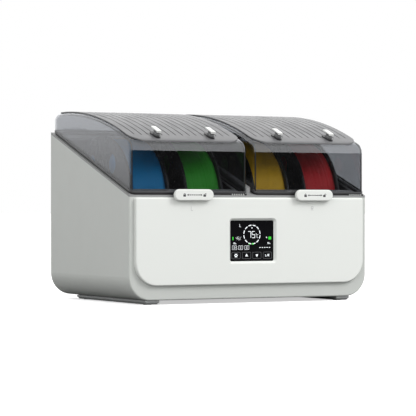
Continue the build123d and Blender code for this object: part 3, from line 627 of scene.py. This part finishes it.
screen_marks()
screen_marks_green()
key_frames()
side_marks()


# ---------------------------------------------------------------- lids

# The joint between the housing and the lids slopes up to the back.
DECK_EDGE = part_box("deck_frame")[0].z
SLOPE_RATE = tan(radians(19.8))

# The lids in side view: an upright front, a round brow and one long arc to the back.
ARC_R = 582 * MM
ARC_Y = FRONT + 235 * MM
BROW_R = 17.5 * MM
LID_BACK = BACK - 3 * MM
LID_CORNER_R = 7 * MM
RIM_PROFILE = ((-0.2, 5.6), (0.7, 5.6), (0.7, 7.6), (0.5, 8.2), (-0.2, 8.2))
# Where the dark strips that paint the shade of the lids' thick corners sit
EDGE_INSET = 2.9 * MM
EDGE_HALF = 0.75 * MM

# The grooves in the top panels, and the near-black strips laid in them as painted shade
GROOVES = 15
GROOVE_PITCH = 10.9 * MM
GROOVE_FRONT = FRONT + 22 * MM
GROOVE_BACK = BACK - 19 * MM
GROOVE_FLOOR_R = ARC_R + 0.8 * MM
PANEL_CORNER_R = 20 * MM
SHADE_STRIP_HALF_W = 0.72 * MM
SHADE_STRIP_SUNK = 0.3 * MM
SHADE_STRIP_RAISED = 0.55 * MM
SHADE_STRIP_END_GAP = 0.8 * MM
SHADE_STRIP_SECTIONS = 40

# The teeth and the stud on the joint at the right end of each lid
JOINT_LIFT = 3.9 * MM
TEETH = 6
TOOTH_PITCH = 3.6 * MM


def seat_z(y, lift):
    """Height of the sloping joint between housing and lid at y, moved up by lift."""
    return DECK_EDGE + (y - FRONT) * SLOPE_RATE + lift


def lid_rim(side):
    """The dark band round the foot of a clear lid, along the slope."""
    low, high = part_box(f"lid_shell_{side}")
    centre = ((low.x + high.x) / 2, (FRONT + LID_BACK) / 2)
    width = high.x - low.x
    length = LID_BACK - FRONT
    bm = bmesh.new()
    loops = []
    for grow_mm, lift_mm in RIM_PROFILE:
        grow = grow_mm * MM
        path = rounded_rectangle(centre, width + 2 * grow, length + 2 * grow, LID_CORNER_R + grow)
        loops.append([bm.verts.new((x, y, seat_z(y, lift_mm * MM))) for x, y in path])
    join_loops(bm, loops, ring=True)
    piece_from(bm, f"lid_rim_{side}", RIM_DARK, f"lid_{side}")


def lid_side_line(top):
    """Points (y, z, angle) up the front of a lid and back over it. The angle says which way is out."""
    centre_z = top - ARC_R
    brow_y = FRONT + BROW_R
    brow_z = centre_z + sqrt((ARC_R - BROW_R)**2 - (ARC_Y - brow_y)**2)
    meet = degrees(atan2(brow_z - centre_z, brow_y - ARC_Y))
    end = degrees(acos((GROOVE_BACK - ARC_Y) / ARC_R))
    line = [(FRONT, DECK_EDGE + 7 * MM, 180.0), (FRONT, brow_z, 180.0)]
    for y, z, radius, first, last, steps in ((brow_y, brow_z, BROW_R, 180.0, meet, 12),
                                             (ARC_Y, centre_z, ARC_R, meet, end, 40)):
        for k in range(1, steps + 1):
            angle = first + (last - first) * k / steps
            line.append((y + radius * cos(radians(angle)), z + radius * sin(radians(angle)), angle))
    return line


def lid_edge_shade(side):
    """Painted shade: dark strips up the front and back over the brow, inside the thick corners of a clear
    lid, standing in for the dark edges those corners show.
    """
    low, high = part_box(f"lid_shell_{side}")
    corners = ((-EDGE_HALF, -EDGE_INSET - EDGE_HALF), (EDGE_HALF, -EDGE_INSET - EDGE_HALF),
               (EDGE_HALF, -EDGE_INSET + EDGE_HALF), (-EDGE_HALF, -EDGE_INSET + EDGE_HALF))
    bm = bmesh.new()
    for x in (low.x + EDGE_INSET, high.x - EDGE_INSET):
        loops = []
        for y, z, angle in lid_side_line(high.z):
            out = (cos(radians(angle)), sin(radians(angle)))
            loops.append([bm.verts.new((x + across, y + out[0] * depth, z + out[1] * depth))
                          for across, depth in corners])
        rod(bm, loops)
    # The painted corner shade uses the dark rim material.
    piece_from(bm, f"lid_edge_shade_{side}", RIM_DARK, f"lid_{side}")


def groove_shade_strips(side):
    """Painted shade: near-black strips that lie in the grooves of a top panel and follow its long arc,
    standing in for the shadow in the grooves.
    """
    panel_low, panel_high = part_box(f"top_panel_{side}")
    middle = (panel_low.x + panel_high.x) / 2
    corner_start = (panel_high.x - panel_low.x) / 2 - PANEL_CORNER_R
    centre_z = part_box(f"lid_shell_{side}")[1].z - ARC_R
    low_r = GROOVE_FLOOR_R - SHADE_STRIP_SUNK
    high_r = GROOVE_FLOOR_R + SHADE_STRIP_RAISED
    corners = ((-SHADE_STRIP_HALF_W, low_r), (SHADE_STRIP_HALF_W, low_r), (SHADE_STRIP_HALF_W, high_r), (-SHADE_STRIP_HALF_W, high_r))
    end = GROOVE_BACK - SHADE_STRIP_END_GAP
    bm = bmesh.new()
    for step in range(GROOVES):
        shift = (step - (GROOVES - 1) / 2) * GROOVE_PITCH
        past_corner = max(0, abs(shift) - corner_start)
        setback = PANEL_CORNER_R - sqrt(PANEL_CORNER_R**2 - past_corner**2)
        start = GROOVE_FRONT + setback + SHADE_STRIP_END_GAP
        loops = []
        for k in range(SHADE_STRIP_SECTIONS + 1):
            y = start + (end - start) * k / SHADE_STRIP_SECTIONS
            lean = asin((y - ARC_Y) / ARC_R)
            loops.append([bm.verts.new((middle + shift + x, ARC_Y + r * sin(lean), centre_z + r * cos(lean)))
                          for x, r in corners])
        rod(bm, loops)
    piece_from(bm, f"groove_shade_strips_{side}", GROOVE_SHADE, f"lid_{side}")


def tick_marks():
    """Short light teeth and a dark stud across the joint, near the right end of each lid."""
    place = facing_front(FRONT)
    z = seat_z(FRONT, JOINT_LIFT)
    teeth = bmesh.new()
    studs = bmesh.new()
    for side in SIDES:
        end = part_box(f"lid_shell_{side}")[1].x
        for step in range(TEETH):
            middle = (end - (6.5 * MM + step * TOOTH_PITCH), z)
            tooth = rounded_rectangle(middle, 1.4 * MM, 2.2 * MM, 0.5 * MM, 3)
            prism(teeth, tooth, -0.4 * MM, 0.6 * MM, place)
        prism(studs, arc((end - 2.6 * MM, z), 1.3 * MM, 0, 330, 11), -0.4 * MM, 0.8 * MM, place)
    piece_from(teeth, "tick_marks", TICK_GREY, "base")
    piece_from(studs, "joint_studs", RUBBER, "base")


def latch_marks(side):
    """Printed on a latch: a closed lock, an arrow line with two heads and beads, and an open lock."""
    low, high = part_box(f"latch_{side}")
    middle = (low.x + high.x) / 2
    z = (low.z + high.z) / 2
    place = facing_front(low.y)
    depth = (-0.2 * MM, 0.04 * MM)
    bm = bmesh.new()
    for lock_x, swing in ((middle - 16 * MM, 0), (middle + 16 * MM, 1.5 * MM)):
        prism(bm, rounded_rectangle((lock_x, z - 0.9 * MM), 4.2 * MM, 3.2 * MM, 0.5 * MM), *depth, place)
        prism(bm, ring_sector((lock_x + swing, z + 0.8 * MM), 1.2 * MM, 0.7 * MM, 0, 180), *depth, place)
    left_tip = (middle - 10.5 * MM, z)
    right_tip = (middle + 10.5 * MM, z)
    prism(bm, bar(left_tip, right_tip, 0.8 * MM), *depth, place)
    for tip, turn in ((left_tip, 180), (right_tip, 0)):
        prism(bm, arc(tip, 1.8 * MM, turn, turn + 240, 2), *depth, place)
    for step in (-2, -1, 0, 1, 2):
        prism(bm, arc((middle + step * 3.6 * MM, z), 0.8 * MM, 0, 315, 7), *depth, place)
    piece_from(bm, f"latch_marks_{side}", MARK_DARK, f"latch_{side}_body")


for side in SIDES:
    lid_rim(side)
    lid_edge_shade(side)
    groove_shade_strips(side)
    latch_marks(side)
tick_marks()


# ---------------------------------------------------------------- filament outlets

outlets = {mount["name"]: mount for mount in frame["record"]["mounts"]}


def outlet_place(n):
    """Local z points out of the lid at an outlet and local y up the slope, from the seat's top."""
    mount = outlets[f"filament_outlet_{n}"]
    out = Vector(mount["axis"]).normalized()
    across = Vector((1, 0, 0))
    along = out.cross(across)
    place = Matrix((across, along, out)).transposed().to_4x4()
    place.translation = Vector(mount["pos_m"])
    return place


# Stopper from the seat's top, in mm: centre up the slope, width, length, low and high.
# They are the stem in the outlet, the flange on the seat, the neck and the head under the tab.
STOPPER_PARTS = (
    (0, 4.2, 4.2, -6.5, 1.0),
    (-2.5, 7.2, 14.5, 0.3, 3.2),
    (-3.0, 5.6, 11.5, 3.0, 7.2),
    (-1.0, 7.6, 8.0, 5.0, 7.2),
)


def outlet_stopper(n):
    """A grey stopper with a waist, and the light tab on it, which hooks over the front."""
    place = outlet_place(n)
    body = bmesh.new()
    for centre_y, width, length, low, high in STOPPER_PARTS:
        radius = min(width, length) * 0.49 * MM
        outline = rounded_rectangle((0, centre_y * MM), width * MM, length * MM, radius)
        prism(body, outline, low * MM, high * MM, place)
    stopper = piece_from(body, f"stopper_{n}", PLUG_GREY, f"plug_{n}", bevel=0.5 * MM)
    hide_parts(f"outlet_plug_{n}")
    tab = bmesh.new()
    plate = rounded_rectangle((0, 0.5 * MM), 7.6 * MM, 20.5 * MM, 1.4 * MM)
    prism(tab, plate, 7.0 * MM, 8.8 * MM, place)
    lip = rounded_rectangle((0, -9.0 * MM), 7.0 * MM, 1.4 * MM, 0.5 * MM)
    prism(tab, lip, 5.6 * MM, 7.4 * MM, place)
    piece_from(tab, f"stopper_tab_{n}", PLUG_LIGHT, f"plug_{n}", bevel=0.35 * MM)


for n in SPOOLS:
    outlet_stopper(n)


# ---------------------------------------------------------------- studio

FLOOR_HALF = 40.0
FLOOR_GLOW = 0.55
FLOOR_DIM = (0.22, 0.22, 0.22, 1)
MACHINE_MIDDLE = (0, 0, 0.14)
CAMERA_PLACE = (-1.4625, -2.6968, 0.136)
CAMERA_HEADING = (0.4768, 0.8790, 0.0)
CAMERA_LENS = 178.1


def make_floor():
    """A wide pale floor. It is brighter to the camera than to the object, as a lit sweep would be."""
    mesh = bpy.data.meshes.new("floor")
    corners = [(FLOOR_HALF * x, FLOOR_HALF * y, 0) for x, y in ((-1, -1), (1, -1), (1, 1), (-1, 1))]
    mesh.from_pydata(corners, [], [(0, 1, 2, 3)])
    floor = bpy.data.objects.new("floor", mesh)
    bpy.context.scene.collection.objects.link(floor)
    mat, tree, shader = new_material("floor")
    tree.nodes.remove(shader)
    rays = tree.nodes.new("ShaderNodeLightPath")
    seen = tree.nodes.new("ShaderNodeBsdfDiffuse")
    seen.inputs["Color"].default_value = (1, 1, 1, 1)
    glow = tree.nodes.new("ShaderNodeEmission")
    glow.inputs["Strength"].default_value = FLOOR_GLOW
    bright = tree.nodes.new("ShaderNodeAddShader")
    tree.links.new(seen.outputs["BSDF"], bright.inputs[0])
    tree.links.new(glow.outputs["Emission"], bright.inputs[1])
    dim = tree.nodes.new("ShaderNodeBsdfDiffuse")
    dim.inputs["Color"].default_value = FLOOR_DIM
    look = mix_shaders(tree, rays.outputs["Is Camera Ray"], dim.outputs["BSDF"], bright.outputs["Shader"])
    tree.links.new(look, tree.nodes["Material Output"].inputs["Surface"])
    mesh.materials.append(mat)


def make_world():
    """White to the camera. Mirrors see a bright sweep above and behind, and a dark low front."""
    world = bpy.data.worlds.new("studio")
    bpy.context.scene.world = world
    world.use_nodes = True
    tree = world.node_tree
    background = tree.nodes["Background"]
    background.inputs["Color"].default_value = (1, 1, 1, 1)
    where = tree.nodes.new("ShaderNodeTexCoord")
    split = tree.nodes.new("ShaderNodeSeparateXYZ")
    tree.links.new(where.outputs["Generated"], split.inputs["Vector"])
    # A direction has Y to the back and Z up, each from -1 to 1.
    above = remap(tree, split.outputs["Z"], 0.09, 0.12)
    behind = remap(tree, split.outputs["Y"], -0.05, 0.35)
    upward = remap(tree, split.outputs["Z"], -0.05, 0.05)
    sweep = maths(tree, "MAXIMUM", above, maths(tree, "MULTIPLY", behind, upward))
    lighting = remap(tree, sweep, 0, 1, 0.03, 0.9)
    front_sky = maths(tree, "MULTIPLY", above, remap(tree, split.outputs["Y"], 0.2, -0.1))
    veil = maths(tree, "MULTIPLY", front_sky, 2.3)
    mirrored = maths(tree, "MAXIMUM", veil, remap(tree, sweep, 0, 1, 0.02, 1.9))
    rays = tree.nodes.new("ShaderNodeLightPath")
    choice = tree.nodes.new("ShaderNodeMix")
    tree.links.new(rays.outputs["Is Glossy Ray"], choice.inputs["Factor"])
    tree.links.new(lighting, choice.inputs["A"])
    tree.links.new(mirrored, choice.inputs["B"])
    level = maths(tree, "MAXIMUM", choice.outputs["Result"], rays.outputs["Is Camera Ray"])
    tree.links.new(level, background.inputs["Strength"])


def area_light(name, place, size, power):
    """A rectangular softbox at place that faces the machine and isn't seen itself, even in the lids."""
    data = bpy.data.lights.new(name, "AREA")
    data.shape = "RECTANGLE"
    data.size, data.size_y = size
    data.energy = power
    light = bpy.data.objects.new(name, data)
    light.location = place
    light.rotation_euler = (Vector(MACHINE_MIDDLE) - Vector(place)).to_track_quat("-Z", "Y").to_euler()
    light.visible_camera = False
    light.visible_glossy = False
    bpy.context.scene.collection.objects.link(light)


def make_camera():
    """Level with the middle of the machine, to the left of its front, with a long lens."""
    data = bpy.data.cameras.new("camera")
    data.lens = CAMERA_LENS
    data.sensor_width = 36.0
    camera = bpy.data.objects.new("camera", data)
    camera.location = CAMERA_PLACE
    camera.rotation_euler = Vector(CAMERA_HEADING).to_track_quat("-Z", "Y").to_euler()
    bpy.context.scene.collection.objects.link(camera)
    bpy.context.scene.camera = camera


make_floor()
make_world()
area_light("key", (1.4, -1.9, 1.9), (1.2, 1.2), 42)
area_light("fill", (-2.2, -1.6, 1.0), (1.5, 1.5), 15)
area_light("front", (0.3, -2.4, 0.35), (1.6, 0.5), 5)
make_camera()

view = bpy.context.scene.view_settings
view.view_transform = "Standard"
